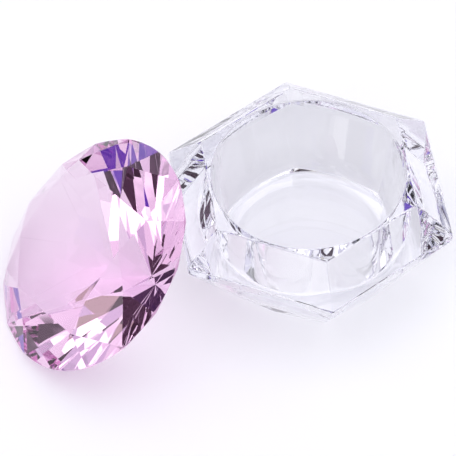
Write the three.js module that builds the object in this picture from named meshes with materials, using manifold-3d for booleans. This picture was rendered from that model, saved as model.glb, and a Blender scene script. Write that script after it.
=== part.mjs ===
// A cut-glass dappen dish: a hexagonal cup with a round bowl, and its loose lid,
// a round brilliant-cut "diamond" of pink glass that lies beside the cup.
// Millimetres, +Z up. The origin is the centre of the cup's flat underside.
import * as THREE from "three";
import { ConvexGeometry } from "three/addons/geometries/ConvexGeometry.js";
import { mergeVertices } from "three/addons/utils/BufferGeometryUtils.js";
import Module from "manifold-3d";

const wasm = await Module();
wasm.setup();

// ---- driving dimensions of the cup ----
const cupSides = 6;
const cupHeight = 27.5;
const rimCornerRadius = 28.6; // centre to a corner of the top hexagon
const beltCornerRadius = 38; // centre to a corner of the widest hexagon
const beltDrop = 8; // how far the widest hexagon lies below the rim
const beltThickness = 2; // the upright band around the widest hexagon
const footCornerRadius = 26.2; // underside corner below each corner of the belt
const footSideRadius = 23.9; // underside corner below the middle of each side
const bowlMouthRadius = 24;
const bowlDepth = 24.4;
const bowlWallTaper = THREE.MathUtils.degToRad(6.5); // wall from the vertical
const bowlFilletRadius = 5.5;
const bowlSegments = 96;
const filletSteps = 6;

// ---- driving dimensions of the lid ----
const lidRadius = 30;
const crownAngle = THREE.MathUtils.degToRad(34);
const pavilionAngle = THREE.MathUtils.degToRad(40);
const tableRatio = 0.6; // table corner radius over lid radius
const starReach = 0.5; // how far a star facet runs from the table to the girdle
const lowerHalfReach = 0.76; // how far a lower half runs from the girdle to the culet
const girdleThickness = 0.9; // at its thinnest, where the facets come closest
const mainFacets = 8;
const girdleSegments = 96;

// ---- where the lid lies, resting on one of its lower main facets ----
const culetX = -39.2;
const culetY = -8.3;
const leanAzimuth = THREE.MathUtils.degToRad(188.5); // the way its flat top faces
const facetClearance = 0.02; // between the resting facet and the cup's base plane

// A horizontal circle's point: azimuth 0 is along +X.
function onCircle(radius, azimuth, height) {
  return new THREE.Vector3(radius * Math.cos(azimuth), radius * Math.sin(azimuth), height);
}

// The corners of a regular polygon, the first one at azimuth start.
function polygon(count, radius, height, start) {
  const corners = [];
  for (let i = 0; i < count; i += 1) {
    corners.push(onCircle(radius, start + (i * 2 * Math.PI) / count, height));
  }
  return corners;
}

// ---- solids ----
function toSolid(geometry) {
  const bare = geometry.clone();
  bare.deleteAttribute("normal");
  bare.deleteAttribute("uv");
  const merged = mergeVertices(bare, 1e-4);
  const mesh = new wasm.Mesh({
    numProp: 3,
    vertProperties: new Float32Array(merged.attributes.position.array),
    triVerts: new Uint32Array(merged.index.array),
  });
  mesh.merge();
  return new wasm.Manifold(mesh);
}

function toGeometry(solid) {
  const mesh = solid.getMesh();
  const geometry = new THREE.BufferGeometry();
  geometry.setAttribute("position", new THREE.BufferAttribute(mesh.vertProperties, 3));
  geometry.setIndex(new THREE.BufferAttribute(mesh.triVerts, 1));
  return geometry;
}

// ---- the cup: a faceted block with a turned bowl cut into it ----
function cupBlock() {
  const firstCorner = Math.PI / 2;
  const sideMiddle = firstCorner + Math.PI / cupSides;
  return new ConvexGeometry([
    ...polygon(cupSides, rimCornerRadius, cupHeight, firstCorner),
    ...polygon(cupSides, beltCornerRadius, cupHeight - beltDrop, firstCorner),
    ...polygon(cupSides, beltCornerRadius, cupHeight - beltDrop - beltThickness, firstCorner),
    ...polygon(cupSides, footCornerRadius, 0, firstCorner),
    ...polygon(cupSides, footSideRadius, 0, sideMiddle),
  ]);
}

// The bowl's profile runs from the axis across the floor, around the fillet, up the
// tapered wall and out past the rim, so that the cut leaves the mouth open.
function bowlCutter() {
  const overshoot = 4;
  const floorHeight = cupHeight - bowlDepth;
  const slope = Math.tan(bowlWallTaper);
  const wallRadiusAtFloor = bowlMouthRadius - bowlDepth * slope;
  // The fillet touches the floor and the wall, which leans out by the taper.
  const turn = Math.PI / 2 - bowlWallTaper;
  const filletX = wallRadiusAtFloor - bowlFilletRadius * Math.tan(turn / 2);
  const filletY = floorHeight + bowlFilletRadius;
  const profile = [new THREE.Vector2(0, floorHeight)];
  for (let i = 0; i <= filletSteps; i += 1) {
    const angle = -Math.PI / 2 + (turn * i) / filletSteps;
    profile.push(
      new THREE.Vector2(
        filletX + bowlFilletRadius * Math.cos(angle),
        filletY + bowlFilletRadius * Math.sin(angle),
      ),
    );
  }
  profile.push(new THREE.Vector2(bowlMouthRadius + overshoot * slope, cupHeight + overshoot));
  profile.push(new THREE.Vector2(0, cupHeight + overshoot));
  const cutter = new THREE.LatheGeometry(profile, bowlSegments);
  cutter.rotateX(Math.PI / 2);
  return cutter;
}

function cupGeometry() {
  return toGeometry(toSolid(cupBlock()).subtract(toSolid(bowlCutter())));
}

// ---- the lid: a round blank cut by the planes of a brilliant ----
// The blank's axis is Z, and the middle of its girdle is at height 0.
const crownBase = girdleThickness / 2;
const tableRadius = tableRatio * lidRadius;
const crownHeight = (lidRadius - tableRadius) * Math.tan(crownAngle);
const pavilionDepth = lidRadius * Math.tan(pavilionAngle);
const halfStep = Math.PI / mainFacets;

// A plane through three points, with its normal away from the stone's middle.
function facet(a, b, c) {
  const plane = new THREE.Plane().setFromCoplanarPoints(a, b, c);
  return plane.constant > 0 ? plane.negate() : plane;
}

// The corner that a main facet shares with its neighbour, on the main facet's own plane.
function crownCorner(azimuth) {
  const apothem = tableRadius * Math.cos(halfStep);
  const radius = apothem + starReach * (lidRadius - apothem);
  const drop = (radius * Math.cos(halfStep) - tableRadius) * Math.tan(crownAngle);
  return onCircle(radius, azimuth, crownBase + crownHeight - drop);
}

function pavilionCorner(azimuth) {
  const radius = lidRadius * (1 - lowerHalfReach);
  const rise = radius * Math.cos(halfStep) * Math.tan(pavilionAngle);
  return onCircle(radius, azimuth, rise - pavilionDepth - crownBase);
}

function brilliantPlanes() {
  const tableHeight = crownBase + crownHeight;
  const table = polygon(mainFacets, tableRadius, tableHeight, 0);
  const culet = new THREE.Vector3(0, 0, -pavilionDepth - crownBase);
  const planes = [facet(table[0], table[2], table[4])];
  for (let i = 0; i < mainFacets; i += 1) {
    const middle = 2 * halfStep * i;
    const nextTable = table[(i + 1) % mainFacets];
    // the kite below each table corner, and the star triangle between two kites
    planes.push(facet(crownCorner(middle - halfStep), table[i], crownCorner(middle + halfStep)));
    planes.push(facet(table[i], nextTable, crownCorner(middle + halfStep)));
    // the lower main facet, from the girdle to the culet
    planes.push(facet(pavilionCorner(middle - halfStep), culet, pavilionCorner(middle + halfStep)));
    // the pairs of halves above and below the girdle
    for (const side of [-1, 1]) {
      const edge = middle + side * halfStep;
      const upperMain = onCircle(lidRadius, middle, crownBase);
      const upperEdge = onCircle(lidRadius, edge, crownBase);
      planes.push(facet(upperMain, upperEdge, crownCorner(edge)));
      const lowerMain = onCircle(lidRadius, middle, -crownBase);
      const lowerEdge = onCircle(lidRadius, edge, -crownBase);
      planes.push(facet(lowerMain, lowerEdge, pavilionCorner(edge)));
    }
  }
  return planes;
}

function lidGeometry() {
  const blankHeight = 2 * (pavilionDepth + crownHeight);
  const blank = new THREE.CylinderGeometry(lidRadius, lidRadius, blankHeight, girdleSegments);
  blank.rotateX(Math.PI / 2);
  let stone = toSolid(blank);
  for (const plane of brilliantPlanes()) {
    const inward = plane.normal.clone().negate();
    stone = stone.trimByPlane(inward.toArray(), plane.constant);
  }
  return toGeometry(stone);
}

// ---- materials ----
const clearGlass = new THREE.MeshStandardMaterial({
  color: 0xeeecf6,
  roughness: 0.02,
  metalness: 0,
  transparent: true,
  opacity: 0.35,
});
const pinkGlass = new THREE.MeshStandardMaterial({
  color: 0xe6c3e8,
  roughness: 0.02,
  metalness: 0,
  transparent: true,
  opacity: 0.45,
});

// ---- the scene graph ----
const dish = new THREE.Group();

const cup = new THREE.Mesh(cupGeometry(), clearGlass);
cup.name = "glass_cup";
dish.add(cup);

// The lid's frame: turned to face leanAzimuth, then tilted by the angle of its lower
// facets, which lays one of them flat. The culet is then at the level of the table.
const lidPlace = new THREE.Group();
lidPlace.position.set(culetX, culetY, facetClearance);
lidPlace.rotation.z = leanAzimuth;
const lidTilt = new THREE.Group();
lidTilt.rotation.y = pavilionAngle;
lidPlace.add(lidTilt);

const lid = new THREE.Mesh(lidGeometry(), pinkGlass);
lid.name = "diamond_lid";
lid.position.z = pavilionDepth + crownBase;
lidTilt.add(lid);
dish.add(lidPlace);

export default dish;
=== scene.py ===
"""A clear cut-glass dappen dish and its loose lid, a pale pink glass brilliant, on a pale table.

Both pieces are rebuilt here from the CAD solids, with a finely turned bowl and girdle and with
slightly worn edges. Everything is in metres, in the CAD model's own frame.
"""
import math

import bmesh
import bpy
from mathutils import Matrix, Vector


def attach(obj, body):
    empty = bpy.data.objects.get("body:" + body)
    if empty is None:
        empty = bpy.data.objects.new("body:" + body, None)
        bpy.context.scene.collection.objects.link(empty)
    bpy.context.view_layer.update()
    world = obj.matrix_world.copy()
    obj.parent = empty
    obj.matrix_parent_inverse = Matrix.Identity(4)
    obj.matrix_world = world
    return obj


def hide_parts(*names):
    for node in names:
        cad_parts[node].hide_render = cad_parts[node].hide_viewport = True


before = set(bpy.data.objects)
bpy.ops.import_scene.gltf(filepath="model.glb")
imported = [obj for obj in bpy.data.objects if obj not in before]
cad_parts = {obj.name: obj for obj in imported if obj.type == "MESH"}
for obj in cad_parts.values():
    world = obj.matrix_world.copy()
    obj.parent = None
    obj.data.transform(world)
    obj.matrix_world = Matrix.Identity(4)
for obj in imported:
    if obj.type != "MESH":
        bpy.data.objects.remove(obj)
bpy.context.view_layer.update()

MM = 0.001

# ---- the cup, repeated from the CAD model ----
BOWL_MOUTH_RADIUS = 24 * MM
BOWL_DEPTH = 24.4 * MM
BOWL_TAPER = math.radians(6.5)
BOWL_FILLET = 5.5 * MM

# ---- finish of the edges ----
CUP_EDGE = 0.3 * MM
CUP_EDGE_STEPS = 3
RIM_EDGE = 0.35 * MM
LID_EDGE = 0.09 * MM
LID_EDGE_STEPS = 2
SHORTEST_WORN_EDGE = 1.2 * MM  # of the lid
FLATTEST_WORN_EDGE = math.radians(3)  # between two of its facets

# ---- fineness of the meshes ----
TURNING_STEPS = 256
FLOOR_STEPS = 6
FILLET_STEPS = 16
WALL_STEPS = 12
LIP_STEPS = 5
LIP_TURN = 0.98 * math.pi / 2  # almost a quarter turn
WELD = 0.001 * MM  # points closer than this are one
SAME_PLANE = 0.002 * MM
SAME_NORMAL = 1 - 1e-6  # the cosine between two normals
SAME_FACET = math.radians(0.5)  # triangles that lean less than this are one facet of the cup
SMALLEST_FACET = 5 * MM * MM  # what is smaller is a splinter of a facet

GIRDLE_SIDES = 96  # of the CAD solid's girdle
GIRDLE_SLOT = 1  # the girdle's place in the lid's materials
GIRDLE_LEAN = 0.2  # a face whose normal leans less than this along the lid's axis is girdle
CUTTER_REACH = 5 * MM  # of the bowl's cutter above the rim
BLANK_HALF_LENGTH = 60 * MM  # of the rod that the lid is cut from


# ---- mesh helpers ----
def new_object(name, bm):
    mesh = bpy.data.meshes.new(name)
    bm.normal_update()
    bm.to_mesh(mesh)
    bm.free()
    obj = bpy.data.objects.new(name, mesh)
    bpy.context.scene.collection.objects.link(obj)
    return obj


def applied(obj):
    """The object's mesh with its modifiers applied, as the object's own mesh."""
    depsgraph = bpy.context.evaluated_depsgraph_get()
    mesh = bpy.data.meshes.new_from_object(obj.evaluated_get(depsgraph))
    obj.modifiers.clear()
    obj.data = mesh
    return obj


def cad_mesh(node):
    """The CAD solid of a node, with its triangles joined at their corners."""
    bm = bmesh.new()
    bm.from_mesh(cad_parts[node].data)
    bmesh.ops.remove_doubles(bm, verts=bm.verts, dist=WELD)
    return bm


# ---- the cup ----
def cup_block(source):
    """The cup's outer block: the hull of its CAD solid, with every edge rounded a little."""
    bm = bmesh.new()
    for vert in source.verts:
        bm.verts.new(vert.co)
    bmesh.ops.convex_hull(bm, input=bm.verts)
    loose = [v for v in bm.verts if not v.link_faces]
    bmesh.ops.delete(bm, geom=loose, context="VERTS")
    bmesh.ops.dissolve_limit(
        bm, angle_limit=SAME_FACET, use_dissolve_boundaries=False,
        verts=bm.verts, edges=bm.edges, delimit=set(),
    )
    bmesh.ops.bevel(
        bm, geom=bm.edges[:], offset=CUP_EDGE, offset_type="OFFSET", segments=CUP_EDGE_STEPS,
        profile=0.5, affect="EDGES", clamp_overlap=True,
    )
    return bm


def bowl_profile(top):
    """The bowl's outline as (radius, height), from the axis up to well past the rim."""
    floor = top - BOWL_DEPTH
    slope = math.tan(BOWL_TAPER)
    wall_at_floor = BOWL_MOUTH_RADIUS - BOWL_DEPTH * slope
    turn = math.pi / 2 - BOWL_TAPER
    fillet_x = wall_at_floor - BOWL_FILLET * math.tan(turn / 2)
    fillet_z = floor + BOWL_FILLET
    points = [(fillet_x * i / FLOOR_STEPS, floor) for i in range(FLOOR_STEPS)]
    for i in range(FILLET_STEPS + 1):
        angle = -math.pi / 2 + turn * i / FILLET_STEPS
        points.append((fillet_x + BOWL_FILLET * math.cos(angle),
                       fillet_z + BOWL_FILLET * math.sin(angle)))
    # the wall, then the rounded lip, which turns out until it is almost level with the top face
    lip_z = top - RIM_EDGE
    lip_x = BOWL_MOUTH_RADIUS - (top - lip_z) * slope
    wall_low = points[-1]
    for i in range(1, WALL_STEPS):
        share = i / WALL_STEPS
        points.append((wall_low[0] + (lip_x - wall_low[0]) * share,
                       wall_low[1] + (lip_z - wall_low[1]) * share))
    for i in range(LIP_STEPS + 1):
        angle = math.pi - LIP_TURN * i / LIP_STEPS
        points.append((lip_x + RIM_EDGE * (1 + math.cos(angle)), lip_z + RIM_EDGE * math.sin(angle)))
    last = points[-1]
    points.append((last[0], top + CUTTER_REACH))
    points.append((0.0, top + CUTTER_REACH))
    return points


def turned(profile, steps):
    """A closed solid of revolution about Z from a profile that starts and ends on the axis."""
    bm = bmesh.new()
    rings = []
    for radius, height in profile:
        if radius < WELD:
            rings.append([bm.verts.new((0, 0, height))])
            continue
        rings.append([
            bm.verts.new((radius * math.cos(2 * math.pi * k / steps),
                          radius * math.sin(2 * math.pi * k / steps), height))
            for k in range(steps)
        ])
    for low, high in zip(rings, rings[1:]):
        for k in range(steps):
            n = (k + 1) % steps
            corners = [low[k % len(low)], low[n % len(low)], high[n % len(high)], high[k % len(high)]]
            unique = list(dict.fromkeys(corners))
            bm.faces.new(unique)
    bmesh.ops.recalc_face_normals(bm, faces=bm.faces)
    for face in bm.faces:
        face.smooth = True
    return bm


def make_cup():
    """The cup: its outer block, with the bowl cut out of it."""
    source = cad_mesh("glass_cup")
    top = max(v.co.z for v in source.verts)
    block = new_object("cup", cup_block(source))
    source.free()
    cutter = new_object("bowl_cutter", turned(bowl_profile(top), TURNING_STEPS))
    cut = block.modifiers.new("bowl", "BOOLEAN")
    cut.operation = "DIFFERENCE"
    cut.solver = "EXACT"
    cut.object = cutter
    applied(block)
    bpy.data.objects.remove(cutter)
    return block


# ---- the lid ----
def facets_of(bm):
    """The flat facets of a solid, as (normal, point on it, area), one for each plane.

    The largest triangles come first, since a thin one's normal is less exact.
    """
    found = []
    for face in sorted(bm.faces, key=lambda face: face.calc_area(), reverse=True):
        normal = face.normal.copy()
        centre = face.calc_center_median()
        area = face.calc_area()
        for facet in found:
            apart = abs(facet[0].dot(centre - facet[1]))
            if facet[0].dot(normal) > SAME_NORMAL and apart < SAME_PLANE:
                facet[2] += area
                break
        else:
            found.append([normal, centre, area])
    return found


def make_lid():
    """The lid: a round rod along the lid's axis, cut down by the plane of each CAD facet."""
    source = cad_mesh("diamond_lid")
    facets = facets_of(source)
    table = max(facets, key=lambda facet: facet[2])
    axis = table[0]
    # the table is a regular octagon, so the middle of its corners is on the lid's axis
    corners = [v.co for v in source.verts if abs(axis.dot(v.co - table[1])) < SAME_PLANE]
    centre = sum(corners, Vector()) / len(corners)
    corner = max((v.co - centre - axis * axis.dot(v.co - centre)).length for v in source.verts)
    # the girdle is turned inside the CAD solid's polygon
    radius = corner * math.cos(math.pi / GIRDLE_SIDES)
    source.free()
    ground = [
        facet for facet in facets
        if abs(facet[0].dot(axis)) > GIRDLE_LEAN and facet[2] > SMALLEST_FACET
    ]

    half = BLANK_HALF_LENGTH
    bm = turned([(0, -half), (radius, -half), (radius, half), (0, half)], TURNING_STEPS)
    place = Matrix.Translation(centre) @ axis.to_track_quat("Z", "Y").to_matrix().to_4x4()
    bmesh.ops.transform(bm, matrix=place, verts=bm.verts)
    for face in bm.faces:
        face.smooth = False
    for normal, point, _ in ground:
        geom = bm.verts[:] + bm.edges[:] + bm.faces[:]
        bmesh.ops.bisect_plane(
            bm, geom=geom, dist=WELD, plane_co=point, plane_no=normal, clear_outer=True
        )
        bmesh.ops.holes_fill(bm, edges=[e for e in bm.edges if e.is_boundary])
    bmesh.ops.remove_doubles(bm, verts=bm.verts, dist=WELD)
    bmesh.ops.recalc_face_normals(bm, faces=bm.faces)
    sharp = []
    for edge in bm.edges:
        if len(edge.link_faces) != 2 or edge.calc_length() < SHORTEST_WORN_EDGE:
            continue
        sides = [abs(face.normal.dot(axis)) > GIRDLE_LEAN for face in edge.link_faces]
        if all(sides) and edge.calc_face_angle() > FLATTEST_WORN_EDGE:
            sharp.append(edge)
    bmesh.ops.bevel(
        bm, geom=sharp, offset=LID_EDGE, offset_type="OFFSET", segments=LID_EDGE_STEPS,
        profile=0.5, affect="EDGES", clamp_overlap=True,
    )
    bmesh.ops.remove_doubles(bm, verts=bm.verts, dist=WELD)
    for face in bm.faces:
        if abs(face.normal.dot(axis)) < GIRDLE_LEAN:
            face.material_index = GIRDLE_SLOT
            face.smooth = True
    return new_object("lid", bm)


# ---- materials ----
CLEAR_INDEX = 1.52
CLEAR_TINT = (0.84, 0.84, 0.91)
CLEAR_DENSITY = 10.0  # of the absorption, per metre
PINK_INDEX = 1.54
PINK_TINT = (0.88, 0.52, 0.81)
PINK_DENSITY = 17.0
GROUND_ROUGHNESS = 0.3
SMEAR = 0.02  # the most roughness that a smear adds
SMEAR_SCALE = 55
SMEAR_DETAIL = 5
SMEAR_TWIST = 1.2
SMEAR_RANGE = (0.5, 0.75)  # of the noise, from clean to fully smeared
WAVINESS = 0.02
WAVE_SCALE = 90
WAVE_DETAIL = 1
WAVE_HEIGHT = 1 * MM
TABLE_TONES = ((0.915, 0.922, 0.930), (0.925, 0.932, 0.940))
TABLE_ROUGHNESS = 0.6
TABLE_GRAIN_SCALE = 40

# the numbers of the colour sockets on a Mix node
MIX_FIRST = 6
MIX_SECOND = 7
MIX_RESULT = 2


def principled(name):
    """A new material, with its node tree and its shader."""
    mat = bpy.data.materials.new(name)
    mat.use_nodes = True
    return mat, mat.node_tree, mat.node_tree.nodes["Principled BSDF"]


def node(tree, kind, **values):
    """A new node with its settings."""
    made = tree.nodes.new(kind)
    for key, value in values.items():
        setattr(made, key, value)
    return made


def glass(name, ior, tint, density, base_roughness=0.0):
    """Polished glass: absorption inside, faint smears in its gloss and a slight waviness."""
    mat, tree, shader = principled(name)
    shader.inputs["Base Color"].default_value = (1, 1, 1, 1)
    shader.inputs["Transmission Weight"].default_value = 1
    shader.inputs["IOR"].default_value = ior
    place = node(tree, "ShaderNodeTexCoord")

    smears = node(tree, "ShaderNodeTexNoise")
    smears.inputs["Scale"].default_value = SMEAR_SCALE
    smears.inputs["Detail"].default_value = SMEAR_DETAIL
    smears.inputs["Distortion"].default_value = SMEAR_TWIST
    tree.links.new(place.outputs["Object"], smears.inputs["Vector"])
    gloss = node(tree, "ShaderNodeMapRange")
    gloss.inputs["From Min"].default_value = SMEAR_RANGE[0]
    gloss.inputs["From Max"].default_value = SMEAR_RANGE[1]
    gloss.inputs["To Min"].default_value = base_roughness
    gloss.inputs["To Max"].default_value = base_roughness + SMEAR
    tree.links.new(smears.outputs["Fac"], gloss.inputs["Value"])
    tree.links.new(gloss.outputs["Result"], shader.inputs["Roughness"])

    waves = node(tree, "ShaderNodeTexNoise")
    waves.inputs["Scale"].default_value = WAVE_SCALE
    waves.inputs["Detail"].default_value = WAVE_DETAIL
    tree.links.new(place.outputs["Object"], waves.inputs["Vector"])
    bump = node(tree, "ShaderNodeBump")
    bump.inputs["Strength"].default_value = WAVINESS
    bump.inputs["Distance"].default_value = WAVE_HEIGHT
    tree.links.new(waves.outputs["Fac"], bump.inputs["Height"])
    tree.links.new(bump.outputs["Normal"], shader.inputs["Normal"])

    inside = node(tree, "ShaderNodeVolumeAbsorption")
    inside.inputs["Color"].default_value = (*tint, 1)
    inside.inputs["Density"].default_value = density
    tree.links.new(inside.outputs["Volume"], tree.nodes["Material Output"].inputs["Volume"])
    return mat


def table_top():
    """The table's pale matt finish, with a barely visible grain."""
    mat, tree, shader = principled("pale_table")
    place = node(tree, "ShaderNodeTexCoord")
    grain = node(tree, "ShaderNodeTexNoise")
    grain.inputs["Scale"].default_value = TABLE_GRAIN_SCALE
    tree.links.new(place.outputs["Object"], grain.inputs["Vector"])
    shade = node(tree, "ShaderNodeMix", data_type="RGBA")
    shade.inputs[MIX_FIRST].default_value = (*TABLE_TONES[0], 1)
    shade.inputs[MIX_SECOND].default_value = (*TABLE_TONES[1], 1)
    tree.links.new(grain.outputs["Fac"], shade.inputs["Factor"])
    tree.links.new(shade.outputs[MIX_RESULT], shader.inputs["Base Color"])
    shader.inputs["Roughness"].default_value = TABLE_ROUGHNESS
    return mat


# ---- the studio ----
TABLE_RADIUS = 3.0
TABLE_SIDES = 96
TABLE_GAP = 0.05 * MM  # under the glass, so that the two don't share a surface


def make_table():
    bm = bmesh.new()
    bmesh.ops.create_circle(bm, cap_ends=True, segments=TABLE_SIDES, radius=TABLE_RADIUS)
    bmesh.ops.translate(bm, verts=bm.verts, vec=(0, 0, -TABLE_GAP))
    floor = new_object("table_top", bm)
    floor.data.materials.append(table_top())


CARD_SOFTNESS = 0.14  # the share of a card's half width over which its edge fades
BEHIND = 0.001  # a direction with less than this along a card's facing doesn't meet it


def card(tree, direction, azimuth, elevation, width, height):
    """How much of a far card is seen in a direction, 0 to 1, with soft edges.

    The card faces the object from azimuth (0 is +Y and 90 is +X) and elevation. Its width and
    height are the degrees that it spans.
    """
    turn = math.radians(azimuth)
    rise = math.radians(elevation)
    facing = Vector((math.sin(turn) * math.cos(rise), math.cos(turn) * math.cos(rise), math.sin(rise)))
    across = Vector((math.cos(turn), -math.sin(turn), 0))
    up = across.cross(facing)

    def along(axis):
        dot = node(tree, "ShaderNodeVectorMath", operation="DOT_PRODUCT")
        dot.inputs[1].default_value = axis
        tree.links.new(direction, dot.inputs[0])
        return dot.outputs["Value"]

    ahead = along(facing)
    front = node(tree, "ShaderNodeMath", operation="MAXIMUM")
    front.inputs[1].default_value = BEHIND
    tree.links.new(ahead, front.inputs[0])
    seen = None
    for axis, span in ((across, width), (up, height)):
        reach = math.tan(math.radians(span / 2))
        ratio = node(tree, "ShaderNodeMath", operation="DIVIDE")
        tree.links.new(along(axis), ratio.inputs[0])
        tree.links.new(front.outputs[0], ratio.inputs[1])
        size = node(tree, "ShaderNodeMath", operation="ABSOLUTE")
        tree.links.new(ratio.outputs[0], size.inputs[0])
        edge = node(tree, "ShaderNodeMapRange", interpolation_type="SMOOTHSTEP")
        edge.inputs["From Min"].default_value = reach
        edge.inputs["From Max"].default_value = reach * (1 - CARD_SOFTNESS)
        tree.links.new(size.outputs[0], edge.inputs["Value"])
        if seen is None:
            seen = edge.outputs["Result"]
            continue
        both = node(tree, "ShaderNodeMath", operation="MULTIPLY")
        tree.links.new(seen, both.inputs[0])
        tree.links.new(edge.outputs["Result"], both.inputs[1])
        seen = both.outputs[0]
    return seen


# ---- the paints of the studio's cards ----
SOFTBOX = (2.0, 2.0, 2.0)
GREY = (0.68, 0.66, 0.78)
DARK_GREY = (0.30, 0.30, 0.31)
KHAKI = (0.50, 0.46, 0.40)
DARK = (0.05, 0.03, 0.045)
VIOLET = (0.13, 0.055, 0.48)

# The studio's cards: paint, then azimuth, elevation, width and height in degrees. A later card hides
# an earlier one.
STUDIO_CARDS = {
    "grey_back": (GREY, 26, 46, 108, 34),
    "dark_back": (DARK, 330, 55, 20, 38),
    "dark_back_right": (DARK, 352, 54, 10, 12),
    "softbox_back": (SOFTBOX, 30, 64, 25, 13),
    "khaki_top": (KHAKI, 313, 76, 12, 12),
    "grey_right": (DARK_GREY, 120, 23, 24, 20),
    "dark_right": (DARK, 146, 58, 10, 12),
    "dark_front": (DARK, 170, 44, 12, 32),
    "dark_front_low": (DARK, 156, 4, 14, 12),
    "dark_back_low": (DARK, 328, 3, 56, 9),
    "softbox_left": (SOFTBOX, 229, 25, 19, 30),
    "grey_left_low": (GREY, 238, 4, 12, 14),
    "dark_left_low": (DARK, 256, 12, 17, 38),
    "dark_front_left": (DARK, 207, 18, 15, 46),
    "dark_front_left_high": (DARK, 217, 27, 9, 24),
    "violet_front": (VIOLET, 191, 18, 15, 42),
    "violet_high": (VIOLET, 217, 48, 28, 20),
    "dark_front_high": (DARK, 185, 77, 15, 21),
    "dark_left_high": (DARK, 235, 67, 14, 11),
}
DOME_COLOUR = (0.955, 0.945, 1.0)
DOME_STRENGTH = 1.13
# the plain sky that lights the table, as shares of the dome: dimmer at the horizon than overhead
HORIZON_SHARE = 0.65
ZENITH_SHARE = 1.35
RISE_POWER = 2


def dome_with_cards(tree, direction):
    """The white dome with the cards in front of it, as a colour."""
    colour = None
    for paint, *shape in STUDIO_CARDS.values():
        mix = node(tree, "ShaderNodeMix", data_type="RGBA")
        tree.links.new(card(tree, direction, *shape), mix.inputs["Factor"])
        if colour is None:
            mix.inputs[MIX_FIRST].default_value = (*DOME_COLOUR, 1)
        else:
            tree.links.new(colour, mix.inputs[MIX_FIRST])
        mix.inputs[MIX_SECOND].default_value = (*paint, 1)
        colour = mix.outputs[MIX_RESULT]
    return colour


def plain_sky(tree, direction):
    """The dome without its cards, brighter overhead, as a colour."""
    split = node(tree, "ShaderNodeSeparateXYZ")
    tree.links.new(direction, split.inputs[0])
    rise = node(tree, "ShaderNodeMath", operation="POWER", use_clamp=True)
    rise.inputs[1].default_value = RISE_POWER
    tree.links.new(split.outputs["Z"], rise.inputs[0])
    mix = node(tree, "ShaderNodeMix", data_type="RGBA")
    mix.inputs[MIX_FIRST].default_value = (*[HORIZON_SHARE * part for part in DOME_COLOUR], 1)
    mix.inputs[MIX_SECOND].default_value = (*[ZENITH_SHARE * part for part in DOME_COLOUR], 1)
    tree.links.new(rise.outputs[0], mix.inputs["Factor"])
    return mix.outputs[MIX_RESULT]


def make_world():
    """The studio. The camera and light that has met the matt table see the plain sky, not the cards."""
    world = bpy.data.worlds.new("studio")
    bpy.context.scene.world = world
    world.use_nodes = True
    tree = world.node_tree
    background = tree.nodes["Background"]
    background.inputs["Strength"].default_value = DOME_STRENGTH
    direction = node(tree, "ShaderNodeTexCoord").outputs["Generated"]
    path = node(tree, "ShaderNodeLightPath")
    plain = node(tree, "ShaderNodeMath", operation="ADD", use_clamp=True)
    tree.links.new(path.outputs["Is Camera Ray"], plain.inputs[0])
    tree.links.new(path.outputs["Diffuse Depth"], plain.inputs[1])
    shown = node(tree, "ShaderNodeMix", data_type="RGBA")
    tree.links.new(plain.outputs[0], shown.inputs["Factor"])
    tree.links.new(dome_with_cards(tree, direction), shown.inputs[MIX_FIRST])
    tree.links.new(plain_sky(tree, direction), shown.inputs[MIX_SECOND])
    tree.links.new(shown.outputs[MIX_RESULT], background.inputs["Color"])


# ---- the camera ----
LENS = 193.6  # this and the next are millimetres
SENSOR_WIDTH = 36
LOOK_AT = Vector((-21.1, -4.9, 15.8)) * MM
CAMERA_DISTANCE = 610.7 * MM
CAMERA_AZIMUTH = math.radians(-5.83)  # from straight in front, towards +X
CAMERA_ELEVATION = math.radians(50.92)
CAMERA_ROLL = math.radians(-2.6)
NEAREST_SEEN = 0.01
FARTHEST_SEEN = 20


def make_camera():
    """A long lens from the front, looking steeply down on the table."""
    back = Vector((
        math.sin(CAMERA_AZIMUTH) * math.cos(CAMERA_ELEVATION),
        -math.cos(CAMERA_AZIMUTH) * math.cos(CAMERA_ELEVATION),
        math.sin(CAMERA_ELEVATION),
    ))
    data = bpy.data.cameras.new("camera")
    data.lens = LENS
    data.sensor_width = SENSOR_WIDTH
    data.clip_start = NEAREST_SEEN
    data.clip_end = FARTHEST_SEEN
    camera = bpy.data.objects.new("camera", data)
    bpy.context.scene.collection.objects.link(camera)
    turn = back.to_track_quat("Z", "Y").to_matrix().to_4x4() @ Matrix.Rotation(CAMERA_ROLL, 4, "Z")
    camera.matrix_world = Matrix.Translation(LOOK_AT + back * CAMERA_DISTANCE) @ turn
    bpy.context.scene.camera = camera


make_camera()
make_world()
make_table()

cup = make_cup()
cup.data.materials.clear()
cup.data.materials.append(glass("clear_glass", CLEAR_INDEX, CLEAR_TINT, CLEAR_DENSITY))
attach(cup, "cup")
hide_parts("glass_cup")

lid = make_lid()
lid.data.materials.append(glass("pink_glass", PINK_INDEX, PINK_TINT, PINK_DENSITY))
lid.data.materials.append(
    glass("ground_girdle", PINK_INDEX, PINK_TINT, PINK_DENSITY, base_roughness=GROUND_ROUGHNESS)
)
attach(lid, "lid")
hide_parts("diamond_lid")

scene = bpy.context.scene
scene.view_settings.view_transform = "Standard"
scene.cycles.max_bounces = 32
scene.cycles.transmission_bounces = 24
scene.cycles.glossy_bounces = 12
scene.cycles.diffuse_bounces = 12
scene.cycles.sample_clamp_indirect = 10
# glass keeps its polish for light that has already met the table, so none is lost under the glass
scene.cycles.blur_glossy = 0
scene.cycles.use_denoising = True
